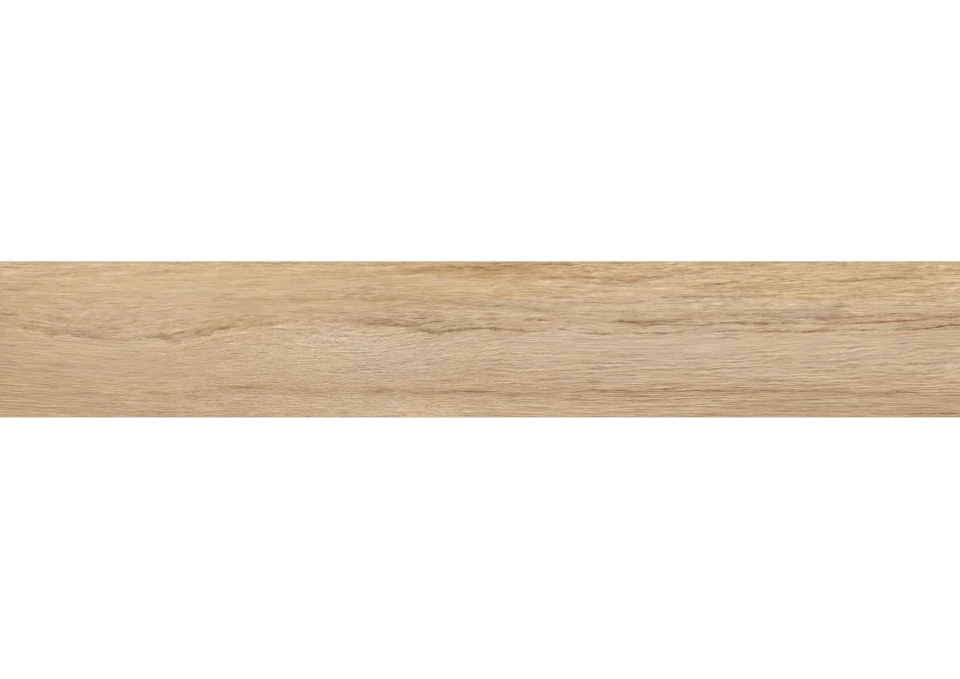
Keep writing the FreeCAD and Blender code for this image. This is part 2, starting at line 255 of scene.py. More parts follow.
# Drawn grain lines: name, half width, and points as (x, y, darkness)
GRAIN_LINES = [
    ("cathedral line, right", 0.95, [
        (-24, 12, 0), (-15, 13, 30), (18, 14.5, 36), (30, 13.5, 22), (45, 12, 31), (60, 9.5, 24),
        (75, 10.5, 34), (90, 12, 26), (108, 12, 32), (125, 8.5, 32), (150, 7, 38), (168, 8, 18),
        (210, 8, 38), (230, 7.5, 34), (255, 10.5, 18), (270, 9.5, 11), (285, 8.5, 24), (302, 10.5, 36),
        (330, 10.5, 35), (360, 10.5, 42), (375, 10.5, 52), (390, 10.5, 31), (408, 9.5, 37), (422, 10, 39),
        (438, 10.5, 24), (462, 12.5, 20), (480, 12, 37), (510, 12, 16), (528, 13.5, 20), (558, 13.5, 55),
        (572, 16, 46), (588, 18, 50), (602, 18, 44),
    ]),
    ("second line", 1, [
        (-272, 43.5, 0), (-225, 47, 7), (-166, 51, 7), (-141, 48.5, 8), (-81, 49.5, 9), (-60, 47.5, 7),
        (-44, 44.5, 6), (-21, 43.5, 8), (-5, 42, 18), (24, 42, 14), (39, 43, 8), (54, 40.5, 14),
        (75, 35.5, 18), (112, 34.5, 6), (130, 34.5, 0),
    ]),
    ("upper branch", 1.1, [(-85, 18, 0), (-61, 21, 22), (-49, 22.5, 17), (-35, 23.5, 0)]),
    ("middle branch", 1, [
        (-65, 12, 0), (-55, 13.5, 22), (-42, 15.5, 26), (-28, 17.5, 24), (-12, 18.5, 22), (2, 18.5, 0),
    ]),
    ("short line", 0.9, [(-8, 25, 0), (2, 25.5, 22), (16, 25.5, 29), (38, 27, 0)]),
    ("next short line", 0.9, [(45, 25, 0), (58, 24.5, 35), (75, 24, 45), (98, 23, 0)]),
    ("third line", 0.95, [
        (160, 23.5, 0), (176, 23, 25), (206, 18, 25), (221, 18.5, 29), (240, 18.5, 16), (262, 18, 25),
        (281, 18, 40), (296, 20, 23), (328, 20.5, 38), (344, 19.5, 46), (358, 19.5, 40), (371, 20.5, 23),
        (386, 21, 44), (401, 19.5, 26), (418, 18.5, 14), (446, 19.5, 32), (462, 19.5, 32), (506, 22, 46),
        (551, 24.5, 25), (566, 27, 39), (582, 28, 45), (602, 28.5, 28),
    ]),
    ("fourth line", 0.85, [
        (320, 30.5, 0), (345, 30, 20), (362, 29, 14), (378, 28, 19), (405, 27, 15), (450, 27, 26),
        (500, 30, 21), (525, 32, 20), (540, 32, 22), (555, 30.5, 0),
    ]),
    ("fifth line", 1.1, [
        (398, 38, 0), (410, 37.5, 11), (430, 37.5, 10), (448, 42, 17), (460, 41, 12), (472, 39.5, 0),
    ]),
    ("low line, left", 1, [
        (-360, -57.5, 0), (-330, -58, 4), (-308, -59.5, 10), (-290, -59.5, 15), (-250, -62, 9),
        (-230, -63.5, 14), (-190, -64.5, 11), (-170, -63.5, 9), (-148, -65.5, 10), (-110, -64.5, 15),
        (-90, -64.5, 12), (-70, -67, 13), (-30, -64.5, 13), (10, -65, 14), (30, -68, 13), (70, -68, 13),
        (90, -67.5, 7), (110, -65.5, 0),
    ]),
    ("low line, right", 1.05, [
        (100, -66.5, 0), (130, -63, 15), (150, -63, 18), (170, -64.5, 17), (190, -64.5, 23),
        (230, -64.5, 15), (250, -64.5, 25), (270, -64.5, 17), (290, -64.5, 20), (310, -63, 23),
        (350, -63.5, 13), (370, -64.5, 18), (410, -64.5, 13), (430, -63.5, 11), (450, -64.5, 10),
        (470, -67, 10), (490, -67, 5), (530, -66, 27), (560, -70, 10), (602, -70.5, 6),
    ]),
    ("lowest line", 0.8, [
        (100, -76.5, 0), (122, -75.5, 16), (150, -76, 8), (200, -76.5, 12), (250, -75.5, 20),
        (292, -75, 18), (312, -75, 0),
    ]),
    ("front edge line", 0.8, [(518, -94, 0), (540, -93, 20), (568, -92.5, 28), (602, -92, 25)]),
    ("top line", 1.3, [
        (-100, 82, 0), (-88, 82.5, 10), (-75, 86.5, 15), (-60, 87, 16), (-45, 84.5, 11), (-15, 90.5, 19),
        (0, 89.5, 16), (15, 85.5, 10), (30, 83, 0),
    ]),
    ("next top line", 1, [
        (45, 78.5, 0), (78, 77, 20), (92, 77, 21), (108, 77, 15), (135, 78, 22), (152, 75, 14),
        (165, 75.5, 15), (180, 73, 18), (198, 73, 22), (210, 73, 0),
    ]),
    ("honey line", 1, [
        (185, 50, 0), (220, 52, 18), (262, 54, 22), (278, 53, 19), (292, 54, 14), (308, 53.5, 18),
        (322, 52, 16), (355, 54.5, 22), (370, 54, 20), (385, 54, 11), (415, 50.5, 14), (430, 49.5, 0),
    ]),
    ("upper right line", 0.85, [
        (262, 67.5, 0), (275, 68, 20), (285, 68, 29), (330, 72, 12), (345, 72.5, 0),
    ]),
    ("far right line", 0.9, [
        (435, 71, 0), (450, 72, 23), (480, 74.5, 22), (495, 75.5, 28), (525, 77, 22), (540, 77.5, 15),
        (555, 74.5, 18), (570, 72.5, 0),
    ]),
    ("left line", 1, [(-605, 62, 8), (-590, 63, 14), (-572, 63, 13), (-558, 64.5, 0)]),
    ("orange line", 1, [(5, 54, 0), (18, 54.5, 14), (38, 54, 15), (52, 53.5, 0)]),
    ("next orange line", 0.9, [(78, 53, 0), (90, 53, 14), (112, 52.5, 13), (125, 52.5, 0)]),
]
LINE_REACH = 5  # how far from its middle a drawn line still counts
LINE_SHADE = 0.3  # the soft shade above a line, as a share of its darkness
SHADE_FADES = (0.4, 1.2)  # how fast that shade fades above and below the line
LINE_RAGS = [(11, 3, 61, 2.4), (3.5, 2, 67, 1.2)]  # how its core strays, in half widths
LINE_BREAKS = [(14, 3, 71, 0.85), (4, 2, 73, 0.75)]  # how its darkness changes, as a share of it
FAINTEST_CORE = 0.3
PRESSED_DARKNESS = 45  # of a line that is pressed in all the way

# Pores: short dark dashes, pressed in and printed alike
PORE_COUNT = 2600
PORE_LENGTH = 28
PORE_LENGTH_SPREAD = 0.5  # of its logarithm
PORE_HALF_WIDTHS = (0.45, 0.78)
PORE_STRENGTHS = (0.35, 1)
PORE_DARKNESS = 12
PORE_BREAKS = (6, 1.2, 81, 0.5)  # how their darkness changes, as a share of it
PORE_SEED = 31

# Fine streaks of the print: length, width, and the darkness in the soft grain above the cathedral line,
# in the clear grain below it, and in the broken grain below it
STREAKS = [
    (80, 8, 16, 2, 4), (75, 1.3, 31, 28, 15), (30, 1.2, 23, 16, 14), (12, 1.3, 29, 14, 20),
    (5, 1.3, 10, 6, 16), (2.5, 1.3, 18, 10, 21),
]
STREAK_SEED = 7.3
BROKEN_GRAIN = (-200, 250)  # its middle along the plank, and its half length
RIM_STEP = 1.25  # from the middle of a streak to its rims
RIM_SHARES = (0.07, 0.32)  # how strong the rims are above and below the cathedral line
WAVERS = (1.6, 0.9)  # how far the streaks waver across the grain above and below it
WAVER_NOISE = (12, 4, 55, 1)
PALE_SHARE = 0.66  # how strong the pale streaks are beside the dark ones

FIBRES = (6, 0.4, 85, 15)  # the print's finest, seen from near

INK = np.array([0.97, 1.03, 1.04])  # display levels taken off red, green and blue by one of darkness
RED_TINT = np.array([0, 17, 14])  # and by a red flush
BAND_TINT = np.array([0, 0.07, 0.1])  # and by one of darkness in the band
HUE = np.array([0.66, 0.16, -0.74])  # from pinkish towards orange
HUE_DRIFTS = [(70, 11, 23, 2), (18, 4, 24, 2.5)]
PAINTED_EDGE_SHADE = np.array([-11, -4, 5])  # painted shade along the plank's long edges: how it darkens and greys the print there
PAINTED_EDGE_SHADE_WIDTH = 1.3
DARKEST = (0.05, 0.05, 0.05)

# Roughness, how far it varies, height of the bumps in metres, and specular level
FACE_FINISH = (0.56, 0.08, 0.00005, 0.35)
SIDE_FINISH = (0.72, 0.12, 0.00003, 0.3)
BACK_FINISH = (0.86, 0.08, 0.00008, 0.25)
GLAZE_FOOT, ENGOBE_FOOT = 0.42, 0.62  # how far down the sides the glaze and the engobe reach
LAND_REACH = 0.15  # how far up into the cells the wash on the lands goes


def smooth_step(t):
    """Eases from 0 to 1."""
    t = np.clip(t, 0, 1)
    return t * t * (3 - 2 * t)


def lattice_noise(u, v, seed):
    """Smooth noise from -1 to 1, with about one feature for each unit of u and of v."""
    first_u, first_v = np.floor(u).astype(int), np.floor(v).astype(int)
    share_u, share_v = smooth_step(u - first_u), smooth_step(v - first_v)
    first_u -= first_u.min()
    first_v -= first_v.min()
    lattice = np.random.default_rng(seed).uniform(-1, 1, (first_u.max() + 2, first_v.max() + 2))
    near = lattice[first_u, first_v] * (1 - share_v) + lattice[first_u, first_v + 1] * share_v
    far = lattice[first_u + 1, first_v] * (1 - share_v) + lattice[first_u + 1, first_v + 1] * share_v
    return near * (1 - share_u) + far * share_u


def layered_noise(x, y, layers):
    return sum(amount * lattice_noise(x / length, y / width, seed) for length, width, seed, amount in layers)


def patch_weight(x, y, centre_x, centre_y, half_length, half_width):
    """1 in the middle of a soft patch, falling to nothing outside it."""
    distance = ((x - centre_x) / half_length) ** 2 + ((y - centre_y) / half_width) ** 2
    return np.exp(-distance)


def flow_height(x, y):
    """The height that stays the same along the paths of the flow. Rows of x and y hold one column
    each."""
    levels = np.array([level for level, _ in FLOW[::-1]])
    paths = [np.interp(x[:, 0], *zip(*points)) for _, points in FLOW[::-1]]
    return np.array([np.interp(y[i], column, levels) for i, column in enumerate(zip(*paths))])


def share_below(x, y):
    """0 in the grain above the cathedral line and 1 in the grain below it."""
    start, fade = LOWER_GRAIN
    return smooth_step((start - flow_height(x, y)) / fade)


def grain_height(x, y):
    """The height that stays the same along the streaks, which follow the flow in part."""
    height = FLOW_SHARE * flow_height(x, y) + (1 - FLOW_SHARE) * y
    for knot_x, knot_y, half_length, half_width, _ in KNOTS:
        weight = patch_weight(x, y, knot_x, knot_y, half_length, half_width)
        height -= KNOT_SPREAD * (y - knot_y) * weight
    for start, end, middle_y, half_width, rise in LEANS:
        climb = rise * (np.clip(x, start, end) - (start + end) / 2)
        height -= climb * np.exp(-((y - middle_y) / half_width) ** 2)
    return height + layered_noise(x, y, WANDERS)


def marks_darkness(x, y):
    """The darkness of the soft bands and short marks together."""
    wavy = y + layered_noise(x, y, SHADE_WAVERS)
    total = np.zeros(x.shape)
    for _, half_width, points in SHADES:
        along, across, shades = zip(*points)
        from_middle = (wavy - np.interp(x, along, across)) / half_width
        total += np.interp(x, along, shades, left=0, right=0) * np.exp(-from_middle ** 2)
    for middle_x, middle_y, half_length, half_width, rise, darkness in STROKES:
        share = (x - middle_x) / half_length
        from_middle = (y - middle_y - rise * share) / half_width
        total += darkness * np.exp(-share ** 4 - from_middle ** 2)
    return total


def broad_tone(x, y):
    """The print's display colour, with painted shade along its long edges, before its lines, streaks and
    pores.
    """
    places, colours = zip(*TONES[::-1])
    across = y + layered_noise(x, y, TONE_WAVERS)
    tone = np.stack([np.interp(across, places, shade) for shade in zip(*colours)], axis=-1)
    rags = layered_noise(x, y, PATCH_RAGS)
    for centre_x, centre_y, half_length, half_width, change in PATCHES:
        weight = patch_weight(x, y + half_width * rags, centre_x, centre_y, half_length, half_width)
        tone += weight[..., None] * np.array(change)
    tone += layered_noise(x, y, HUE_DRIFTS)[..., None] * HUE
    # Painted shade: the print darkened and greyed along the long edges
    to_edge = (HALF_WIDTH - BEVEL - np.abs(y)) / PAINTED_EDGE_SHADE_WIDTH
    tone += np.exp(-to_edge ** 2)[..., None] * PAINTED_EDGE_SHADE
    return tone - marks_darkness(x, y)[..., None] * INK


def drawn_lines(x, y):
    """For each place, how far above the nearest drawn line it lies, and that line's darkness and half
    width."""
    offset = np.full(x.shape, LINE_REACH)
    darkness = np.zeros(x.shape)
    width = np.ones(x.shape)
    for _, half_width, points in GRAIN_LINES:
        along, across, levels = zip(*points)
        from_line = y - np.interp(x, along, across)
        level = np.interp(x, along, levels, left=0, right=0)
        nearer = (np.abs(from_line) < np.abs(offset)) & (level > 0)
        fade = smooth_step(2 - 2 * np.abs(from_line) / LINE_REACH)
        offset = np.where(nearer, from_line, offset)
        darkness = np.where(nearer, level * fade, darkness)
        width = np.where(nearer, half_width, width)
    return offset, darkness, width


def cathedral_band(x, y):
    """For each place, how far above the foot of the band it lies, and the band's height and darkness."""
    along, feet, heights, shades = zip(*CATHEDRAL_BAND)
    above_foot = y - np.interp(x, along, feet)
    return above_foot, np.interp(x, along, heights), np.interp(x, along, shades)


def pore_field(x, y, height):
    """How much of a pore lies at each place, from 0 to 1. Each pore is a dash along the grain."""
    rng = np.random.default_rng(PORE_SEED)
    field = np.zeros(x.shape)
    columns, rows = x[:, 0], y[0]
    for _ in range(PORE_COUNT):
        middle = rng.uniform(-HALF_LENGTH, HALF_LENGTH)
        place = rng.uniform(-HALF_WIDTH, HALF_WIDTH)
        half_length = PORE_LENGTH / 2 * rng.lognormal(0, PORE_LENGTH_SPREAD)
        half_width = rng.uniform(*PORE_HALF_WIDTHS)
        strength = rng.uniform(*PORE_STRENGTHS)
        level = np.interp(place, rows, height[np.abs(columns - middle).argmin()])
        for i in np.flatnonzero(np.abs(columns - middle) < half_length):
            across = np.interp(level, height[i], rows)
            taper = 1 - ((columns[i] - middle) / half_length) ** 2
            profile = np.exp(-((rows - across) / half_width) ** 2)
            field[i] = np.maximum(field[i], strength * math.sqrt(taper) * profile)
    return field


def streak_strengths(x, y, below):
    """The darkness of each kind of streak at each place."""
    middle, half_length = BROKEN_GRAIN
    broken = below * np.exp(-((x - middle) / half_length) ** 4)
    restless = EVEN_STRENGTH + sum(patch_weight(x, y, *place[:4]) * place[4] for place in RESTLESS)
    weights = np.stack([1 - below, below - broken, broken], axis=-1) * restless[..., None]
    return weights @ np.array([kind[2:] for kind in STREAKS]).T


def face_fields():
    """The places of the face's points, on a grid of columns and rows, and what its material needs
    there."""
    columns = np.linspace(-HALF_LENGTH + BEVEL, HALF_LENGTH - BEVEL, COLUMNS + 1)
    rows = np.linspace(-HALF_WIDTH + BEVEL, HALF_WIDTH - BEVEL, ROWS + 1)
    x, y = np.meshgrid(columns, rows, indexing="ij")
    height = grain_height(x, y)
    offset, darkness, width = drawn_lines(x, y)
    pores = pore_field(x, y, height)
    red = sum(patch_weight(x, y, *flush) for flush in FLUSHES)
    below = share_below(x, y)
    strengths = streak_strengths(x, y, below)
    groove = np.exp(-(offset / width) ** 2) * darkness / PRESSED_DARKNESS
    depth = PORE_DEPTH * pores + LINE_DEPTH * np.clip(groove, 0, 1)
    depth += RIDGE_DEPTH + layered_noise(x, height, RIDGES)
    places = np.stack([x, y, TOP - np.clip(depth, 0, DEEPEST_RELIEF)], axis=-1)
    return places, {
        "grain": np.stack([x, height, np.zeros(x.shape)], axis=-1),
        "tone": broad_tone(x, y) / 255,
        "line": np.stack([offset, darkness, width], axis=-1),
        "band": np.stack(cathedral_band(x, y), axis=-1),
        "marks": np.stack([pores, red, below], axis=-1),
        "coarse": strengths[..., :3],
        "fine": strengths[..., 3:],
    }


class Shell:
    """The points and faces of one closed mesh, with the part that each face belongs to."""

    def __init__(self):
        self.points = []
        self.faces = []
        self.parts = []

    def add_point(self, x, y, z):
        self.points.append((x, y, z))
        return len(self.points) - 1

    def add_face(self, corners, part):
        self.faces.append(corners)
        self.parts.append(part)

    def add_back_face(self, corners):
        """A face of the back, which looks down, from corners that go round as seen from above."""
        self.add_face(corners[::-1], "back")


def add_face_grid(shell, places):
    """The relief of the face. Returns the indexes of its rim, round from the front left corner."""
    shell.points.extend(places.reshape(-1, 3).tolist())
    index = np.arange(len(shell.points)).reshape(places.shape[:2]).tolist()
    for i in range(COLUMNS):
        for j in range(ROWS):
            corners = (index[i][j], index[i + 1][j], index[i + 1][j + 1], index[i][j + 1])
            shell.add_face(corners, "face")
    front = [index[i][0] for i in range(COLUMNS)]
    right = [index[COLUMNS][j] for j in range(ROWS)]
    rear = [index[i][ROWS] for i in range(COLUMNS, 0, -1)]
    left = [index[0][j] for j in range(ROWS, 0, -1)]
    return front + right + rear + left


def add_sides(shell, rim):
    """The bevel and the ground sides. Returns the indexes of the ring at the foot."""
    stretch_x = HALF_LENGTH / (HALF_LENGTH - BEVEL)
    stretch_y = HALF_WIDTH / (HALF_WIDTH - BEVEL)
    rings = [rim]
    for z in (TOP - BEVEL, 0):
        places = [shell.points[k][:2] for k in rim]
        rings.append([shell.add_point(x * stretch_x, y * stretch_y, z) for x, y in places])
    sides = ["front"] * COLUMNS + ["right"] * ROWS + ["rear"] * COLUMNS + ["left"] * ROWS
    for upper, lower in zip(rings, rings[1:]):
        for k, side in enumerate(sides):
            following = (k + 1) % len(rim)
            shell.add_face((lower[k], lower[following], upper[following], upper[k]), side)
    return rings[-1]


def cell_outline(half, radius):
    """The corners of a square with round corners, round from the lower left one, as four lists."""
    corners = []
    for turn, (along, across) in enumerate([(-1, -1), (1, -1), (1, 1), (-1, 1)]):
        start = math.pi + turn * math.pi / 2
        angles = [start + step / CORNER_STEPS * math.pi / 2 for step in range(CORNER_STEPS + 1)]
        centre_x, centre_y = along * (half - radius), across * (half - radius)
        corners.append([(centre_x + radius * math.cos(a), centre_y + radius * math.sin(a)) for a in angles])
    return corners


def add_cell(shell, middle_x, middle_y, tile):
    """One sunk key cell and the half lands round it, inside the tile of four points."""
    lean = KEY_DEPTH * math.tan(KEY_DRAFT)
    half = (KEY_PITCH - LAND_WIDTH) / 2
    mouth, floor = [], []
    for ring, z, inset in ((mouth, 0, 0), (floor, KEY_DEPTH, lean)):
        for corner in cell_outline(half - inset, CELL_CORNER - inset):
            ring.append([shell.add_point(middle_x + x, middle_y + y, z) for x, y in corner])
    for k in range(4):
        shell.add_back_face((tile[k - 1], tile[k], mouth[k][0], mouth[k - 1][-1]))
        shell.add_back_face((tile[k], *reversed(mouth[k])))
    mouth_ring, floor_ring = sum(mouth, []), sum(floor, [])
    for k in range(len(mouth_ring)):
        shell.add_back_face((mouth_ring[k - 1], mouth_ring[k], floor_ring[k], floor_ring[k - 1]))
    shell.add_back_face(floor_ring)


def add_back(shell, foot):
    """The key grid, and the plain band between it and the foot of the sides."""
    xs = [(i - CELLS_ALONG / 2) * KEY_PITCH for i in range(CELLS_ALONG + 1)]
    ys = [(j - CELLS_ACROSS / 2) * KEY_PITCH for j in range(CELLS_ACROSS + 1)]
    crossing = [[shell.add_point(x, y, 0) for y in ys] for x in xs]
    for x, left, right in zip(xs, crossing, crossing[1:]):
        for j, y in enumerate(ys[:-1]):
            tile = (left[j], right[j], right[j + 1], left[j + 1])
            add_cell(shell, x + KEY_PITCH / 2, y + KEY_PITCH / 2, tile)
    along = [round((x + HALF_LENGTH) / (2 * HALF_LENGTH) * COLUMNS) for x in xs]
    across = [round((y + HALF_WIDTH) / (2 * HALF_WIDTH) * ROWS) for y in ys]
    outline = [(crossing[i][0], along[i]) for i in range(CELLS_ALONG + 1)]
    outline += [(crossing[-1][j], COLUMNS + across[j]) for j in range(CELLS_ACROSS + 1)]
    outline += [(crossing[i][-1], 2 * COLUMNS + ROWS - along[i]) for i in range(CELLS_ALONG, -1, -1)]
    outline += [(crossing[0][j], 2 * COLUMNS + 2 * ROWS - across[j]) for j in range(CELLS_ACROSS, -1, -1)]
    for (point, place), (next_point, next_place) in zip(outline, outline[1:] + outline[:1]):
        if next_place < place:
            next_place += len(foot)
        band = [foot[k % len(foot)] for k in range(place, next_place + 1)]
        inner = [next_point] if next_point == point else [next_point, point]
        shell.add_back_face(band + inner)


# Where each part of the plank lies on the bake map: left, low, right, high
MAP_PLACES = {
    "face": (0.002, 0.4, 0.998, 0.998),
    "back": (0.002, 0.09, 0.998, 0.385),
    "front": (0.002, 0.005, 0.84, 0.04),
    "rear": (0.002, 0.047, 0.84, 0.082),
    "left": (0.86, 0.005, 0.998, 0.04),
    "right": (0.86, 0.047, 0.998, 0.082),
}


def map_shares(part, x, y, z):
    """Where a point lies between the low and high ends of its part's place on the map."""
    along = (x + HALF_LENGTH) / (2 * HALF_LENGTH)
    across = (y + HALF_WIDTH) / (2 * HALF_WIDTH)
    if part in ("face", "back"):
        return along, across
    if part in ("front", "rear"):
        inset = HALF_WIDTH - np.abs(y)
        return along, (z + inset) / (TOP + BEVEL)
    inset = HALF_LENGTH - np.abs(x)
    return across, (z + inset) / (TOP + BEVEL)


def add_bake_map(mesh, shell):
    """Its own UV map for the export, with most of the room for the face."""
    corners = [point for face in shell.faces for point in face]
    parts = np.repeat(shell.parts, [len(face) for face in shell.faces])
    x, y, z = np.array(shell.points)[corners].T
    uv = np.empty((len(corners), 2))
    for part, (left, low, right, high) in MAP_PLACES.items():
        chosen = parts == part
        share_u, share_v = map_shares(part, x[chosen], y[chosen], z[chosen])
        uv[chosen, 0] = left + (right - left) * share_u
        uv[chosen, 1] = low + (high - low) * share_v
    mesh.uv_layers.new(name="OFBake").data.foreach_set("uv", uv.ravel())


def sharpen_rim(mesh, rim):
    """Keeps the lean of the bevel out of the shading of the face."""
    points = set(rim)
    on_rim = [points.issuperset(edge.vertices) for edge in mesh.edges]
    mesh.attributes.new("sharp_edge", "BOOLEAN", "EDGE").data.foreach_set("value", on_rim)


def add_attributes(mesh, fields):
    """Hands the face's fields to its material."""
    for name, field in fields.items():
        values = np.zeros((len(mesh.vertices), 3))
        flat = field.reshape(-1, 3)
        values[:len(flat)] = flat
        mesh.attributes.new(name, "FLOAT_VECTOR", "POINT").data.foreach_set("vector", values.ravel())


def make_plank(materials):
    """The whole plank as one closed mesh, with the relief of its face and the key grid of its back."""
    places, fields = face_fields()
    shell = Shell()
    rim = add_face_grid(shell, places)
    foot = add_sides(shell, rim)
    add_back(shell, foot)
    mesh = bpy.data.meshes.new("porcelain_plank_dressed")
    mesh.from_pydata((np.array(shell.points) * MM).tolist(), [], shell.faces)
    slots = {"face": 0, "back": 2}
    mesh.polygons.foreach_set("material_index", [slots.get(part, 1) for part in shell.parts])
    mesh.polygons.foreach_set("use_smooth", [part == "face" for part in shell.parts])
    for material in materials:
        mesh.materials.append(material)
    sharpen_rim(mesh, rim)
    add_attributes(mesh, fields)
    add_bake_map(mesh, shell)
    mesh.update()
    plank = bpy.data.objects.new(mesh.name, mesh)
    bpy.context.collection.objects.link(plank)
    return plank


class Nodes:
    """The node tree of a material or world, emptied, with short calls for the nodes used here."""

    def __init__(self, owner):
        owner.use_nodes = True
        self.owner = owner
        self.tree = owner.node_tree
        self.tree.nodes.clear()

    def add(self, kind, inputs=None, **settings):
        """Adds a node, whose inputs are plain values or other nodes' sockets, and returns its outputs."""
        node = self.tree.nodes.new("ShaderNode" + kind)
        for name, value in settings.items():
            setattr(node, name, value)
        for name, value in (inputs or {}).items():
            if isinstance(value, bpy.types.NodeSocket):
                self.tree.links.new(value, node.inputs[name])
            else:
                node.inputs[name].default_value = value
        return node.outputs

    def math(self, operation, first, second=0.0, third=0.0):
        inputs = {0: first, 1: second, 2: third}
        return self.add("Math", inputs, operation=operation)[0]

    def vector(self, operation, first, second):
        name = "Scale" if operation == "SCALE" else 1
        return self.add("VectorMath", {0: first, name: second}, operation=operation)[0]

    def plus(self, first, second):
        return self.math("ADD", first, second)

    def times(self, first, second):
        return self.math("MULTIPLY", first, second)

    def place(self):
        """Where a point lies on the plank, in millimetres."""
        return self.vector("SCALE", self.add("TexCoord")["Object"], 1 / MM)

    def attribute(self, name):
        """A vector attribute of the mesh, as one socket."""
        return self.add("Attribute", attribute_name=name)["Vector"]

    def split(self, vector):
        return self.add("SeparateXYZ", {0: vector})

    def noise(self, place, size, seed, detail=1.0):
        """Noise from 0 to 1 whose features have that size, moved by the seed so that no two are alike."""
        scaled = self.vector("MULTIPLY", place, tuple(1 / length for length in size))
        moved = self.vector("ADD", scaled, (seed, seed * 1.7, seed * 0.6))
        return self.add("TexNoise", {"Vector": moved, "Scale": 1.0, "Detail": detail})["Fac"]

    def centred(self, noise, amount):
        """The noise turned into a value of about plus or minus the amount."""
        return self.math("MULTIPLY_ADD", noise, 2.0 * amount, -amount)

    def layer(self, place, length, width, seed, amount, detail=1.0):
        """One layer of noise, of about plus or minus the amount."""
        return self.centred(self.noise(place, (length, width, 1), seed, detail), amount)

    def between(self, share, start, end):
        """From start to end as the share goes from 0 to 1."""
        return self.math("MULTIPLY_ADD", share, end - start, start)

    def bell(self, value):
        """1 where the value is nought, falling off on both sides."""
        return self.math("EXPONENT", self.times(self.times(value, value), -1.0))

    def mix(self, factor, first, second):
        inputs = {"Factor": factor, "A": first, "B": second}
        return self.add("Mix", inputs, data_type="RGBA")["Result"]

    def surface(self, display, raised, mottle, finish, rougher=0.0):
        """Ends the material with its display colour, bumps and finish, and returns it."""
        roughness, change, bump_height, specular = finish
        bump = {"Height": raised, "Distance": bump_height, "Strength": 1.0}
        inputs = {
            "Base Color": self.add("Gamma", {"Color": display, "Gamma": 2.2})[0],
            "Roughness": self.plus(self.centred(mottle, change), self.plus(rougher, roughness)),
            "Normal": self.add("Bump", bump)[0],
            "Specular IOR Level": specular,
        }
        self.add("OutputMaterial", {"Surface": self.add("BsdfPrincipled", inputs)[0]})
        return self.owner


def colour(*levels):
    """A plain display colour as the four numbers of a colour socket."""
    return (*(level / 255 for level in levels), 1)


def rimmed_noise(nodes, place, size, seed, rims):
    """Noise from 0 to 1 whose streaks have rims of the other shade above and below."""
    middle = nodes.noise(place, size, seed, 0.0)
    contrast = nodes.times(middle, 2.0)
    for step in (-RIM_STEP, RIM_STEP):
        moved = nodes.vector("ADD", place, (0, step, 0))
        contrast = nodes.math("SUBTRACT", contrast, nodes.noise(moved, size, seed, 0.0))
    return nodes.math("MULTIPLY_ADD", contrast, rims, middle)


def streak_darkness(nodes, grain, below):
    """The fine streaks, as strong as the mesh says at each place. They are crisper where below is 1."""
    rims = nodes.between(below, *RIM_SHARES)
    waver = nodes.times(nodes.layer(grain, *WAVER_NOISE), nodes.between(below, *WAVERS))
    place = nodes.vector("ADD", grain, nodes.add("CombineXYZ", {"Y": waver})[0])
    strengths = [*nodes.split(nodes.attribute("coarse")), *nodes.split(nodes.attribute("fine"))]
    total = 0.0
    for number, ((length, width, *_), strength) in enumerate(zip(STREAKS, strengths), start=1):
        noise = rimmed_noise(nodes, place, (length, width, 1), STREAK_SEED * number, rims)
        total = nodes.math("MULTIPLY_ADD", nodes.centred(noise, 1.0), strength, total)
    return nodes.math("MAXIMUM", total, nodes.times(total, PALE_SHARE))


def line_darkness(nodes, grain):
    """The drawn lines: a ragged and broken core, with a soft shade on its upper side."""
    offset, darkness, width = nodes.split(nodes.attribute("line"))
    ragged = nodes.plus(*(nodes.layer(grain, *row) for row in LINE_RAGS))
    share = nodes.plus(nodes.math("DIVIDE", offset, width), ragged)
    above, below = nodes.times(share, SHADE_FADES[0]), nodes.times(share, -SHADE_FADES[1])
    soft = nodes.times(nodes.bell(nodes.math("MAXIMUM", above, below)), LINE_SHADE)
    breaks = nodes.plus(*(nodes.layer(grain, *row) for row in LINE_BREAKS))
    broken = nodes.math("MAXIMUM", nodes.plus(1.0, breaks), FAINTEST_CORE)
    core = nodes.times(nodes.bell(share), broken)
    return nodes.times(nodes.plus(core, soft), darkness)


def knot_darkness(nodes):
    """Curled rings round the small knots."""
    place = nodes.place()
    wobble = nodes.centred(nodes.noise(place, (8, 4, 9), 47), KNOT_WOBBLE)
    total = 0.0
    for x, y, half_length, half_width, darkness in KNOTS:
        stretch = (1 / half_length, 1 / half_width, 0)
        spread = nodes.vector("MULTIPLY", nodes.vector("SUBTRACT", place, (x, y, 0)), stretch)
        distance = nodes.add("VectorMath", {0: spread}, operation="LENGTH")["Value"]
        phase = nodes.times(nodes.plus(distance, wobble), KNOT_WAVES)
        ring = nodes.times(nodes.math("SINE", phase), nodes.bell(distance))
        total = nodes.math("MULTIPLY_ADD", ring, darkness, total)
    return total


def band_darkness(nodes, grain):
    """The band over the cathedral line: a crisp ragged foot with a thin line on it, a soft top, and
    specks along the grain."""
    above_foot, height, darkness = nodes.split(nodes.attribute("band"))
    above = nodes.plus(above_foot, nodes.layer(grain, *BAND_TEETH))
    inside = nodes.add("MapRange", {0: above, 1: -BAND_EDGE, 2: BAND_EDGE})[0]
    share = nodes.math("DIVIDE", above, height)
    top = nodes.bell(nodes.times(share, share))
    foot_line = nodes.bell(nodes.math("MULTIPLY_ADD", above, 0.9, -0.7))
    depth = nodes.plus(nodes.math("MULTIPLY_ADD", foot_line, 0.35, 0.9), nodes.layer(grain, *BAND_SPECKS))
    return nodes.times(nodes.times(inside, top), nodes.times(depth, darkness))


